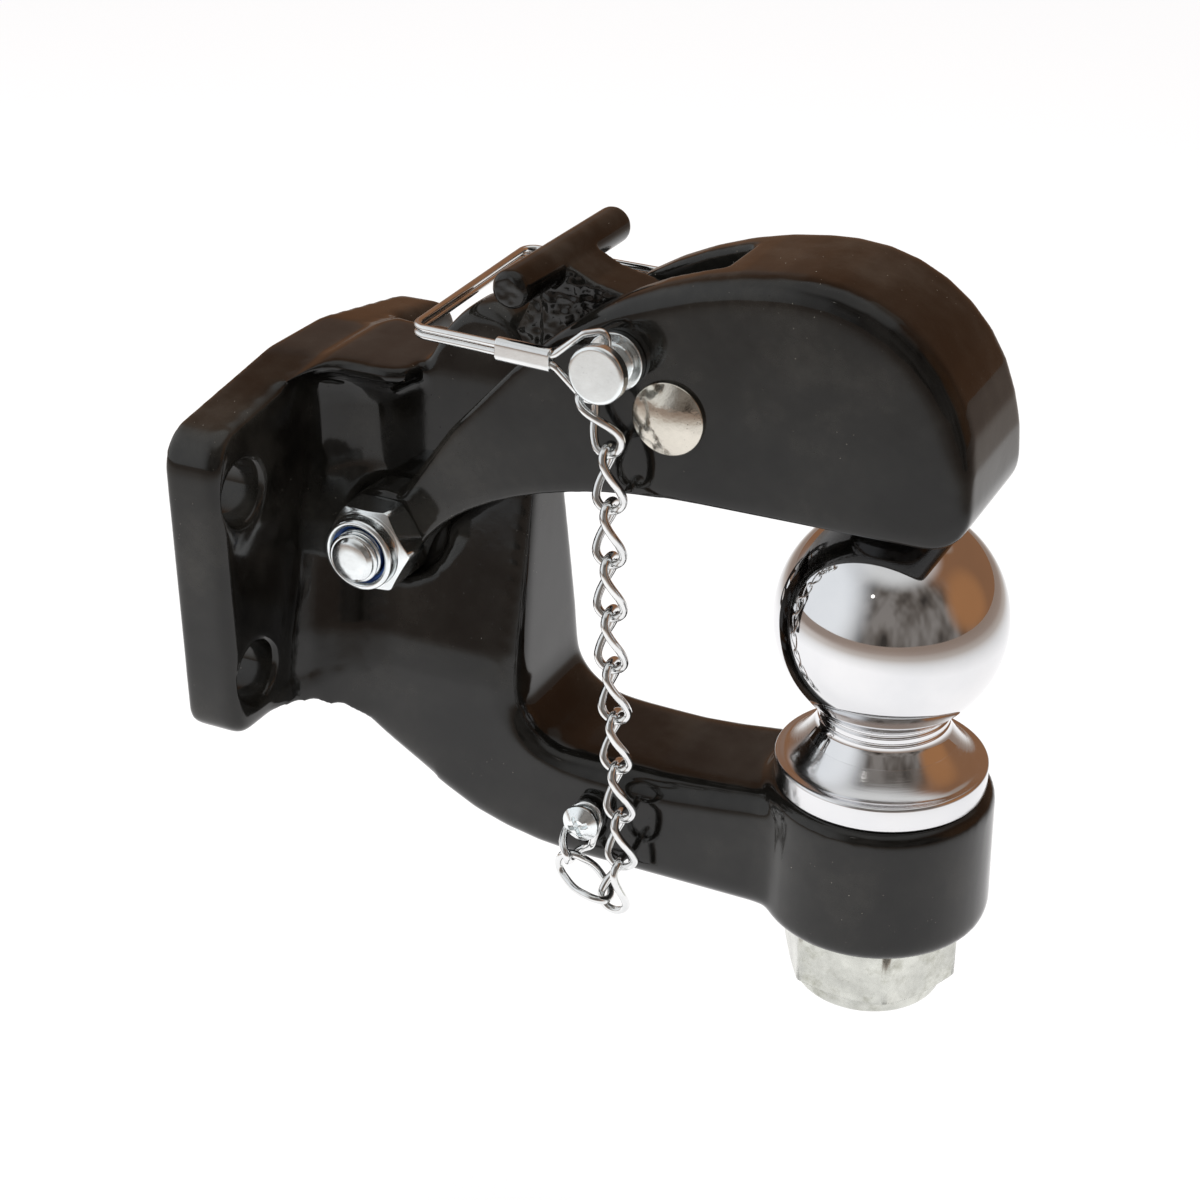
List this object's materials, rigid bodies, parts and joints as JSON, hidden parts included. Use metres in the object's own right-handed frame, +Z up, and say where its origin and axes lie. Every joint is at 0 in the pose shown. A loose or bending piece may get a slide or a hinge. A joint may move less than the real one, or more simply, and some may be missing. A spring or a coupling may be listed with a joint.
{
  "type": "combination pintle hook and tow ball",
  "caption": "Bolt-on cast tow hitch with a ball on its lower arm and a hinged jaw over it, locked by a sprung handle lever and a chained pin.",
  "frame": {"origin": "centre of the four bolt holes, on the flange's back face", "axes": "+X from the flange to the ball, +Z up, the chain hangs on the -Y side"},
  "size_m": [0.1735, 0.104, 0.171],
  "materials": {
    "black_casting": "glossy black coat over a casting",
    "black_lever": "glossy black coat over a rough casting",
    "zinc_steel": "bright zinc plate",
    "nickel_steel": "warm bright plate, speckled",
    "spring_steel": "drawn spring wire",
    "wire": "bright plated wire and sheet",
    "chrome": "polished chrome plate",
    "blue_nylon": "blue nylon"
  },
  "bodies": {
    "base": {"hitch_body": "black_casting", "pivot_bolt": "zinc_steel", "pivot_nut": "zinc_steel", "pivot_nut_insert": "blue_nylon", "tow_ball": "chrome", "ball_nut": "zinc_steel", "ball_nut_insert": "blue_nylon", "chain_screw": "zinc_steel", "chain_link_01": "wire", "chain_link_02": "wire", "chain_link_03": "wire", "chain_link_04": "wire", "chain_link_05": "wire", "chain_link_06": "wire", "chain_link_07": "wire", "chain_link_08": "wire", "chain_link_09": "wire", "chain_link_10": "wire", "chain_link_11": "wire", "chain_link_12": "wire"},
    "jaw": {"latch_jaw": "black_casting", "lever_rivet": "nickel_steel", "lever_spring": "spring_steel"},
    "lever": {"lock_lever": "black_lever"},
    "pin": {"lock_pin": "zinc_steel"},
    "bail": {"pin_bail": "wire", "bail_ferrule": "wire"}
  },
  "joints": [
    {"name": "latch_swing", "type": "hinge", "parent": "base", "child": "jaw", "pos_m": [0.0335, 0, 0.0055], "axis": [0, -1, 0], "range_deg": [0, 22], "deforming": ["chain_link_01", "chain_link_02", "chain_link_03", "chain_link_04", "chain_link_05", "chain_link_06", "chain_link_07", "chain_link_08", "chain_link_09", "chain_link_10", "chain_link_11", "chain_link_12"]},
    {"name": "lever_lift", "type": "hinge", "parent": "jaw", "child": "lever", "pos_m": [0.1033, 0, 0.0468], "axis": [0, 1, 0], "range_deg": [0, 11], "stiffness_Nm_per_rad": 0.2, "deforming": ["lever_spring"]},
    {"name": "pin_slide", "type": "slide", "parent": "jaw", "child": "pin", "axis": [0, -1, 0], "range_m": [0, 0.032]},
    {"name": "bail_swing", "type": "hinge", "parent": "pin", "child": "bail", "pos_m": [0.0918, -0.023, 0.0577], "axis": [0, 0, 1], "range_deg": [0, 125]}
  ],
  "couplings": [
    {"joint": "lever_lift", "follows": "latch_swing", "ratio": 0.5},
    {"joint": "pin_slide", "follows": "latch_swing", "m_per_rad": 0.0833},
    {"joint": "bail_swing", "follows": "latch_swing", "ratio": 5.68}
  ]
}
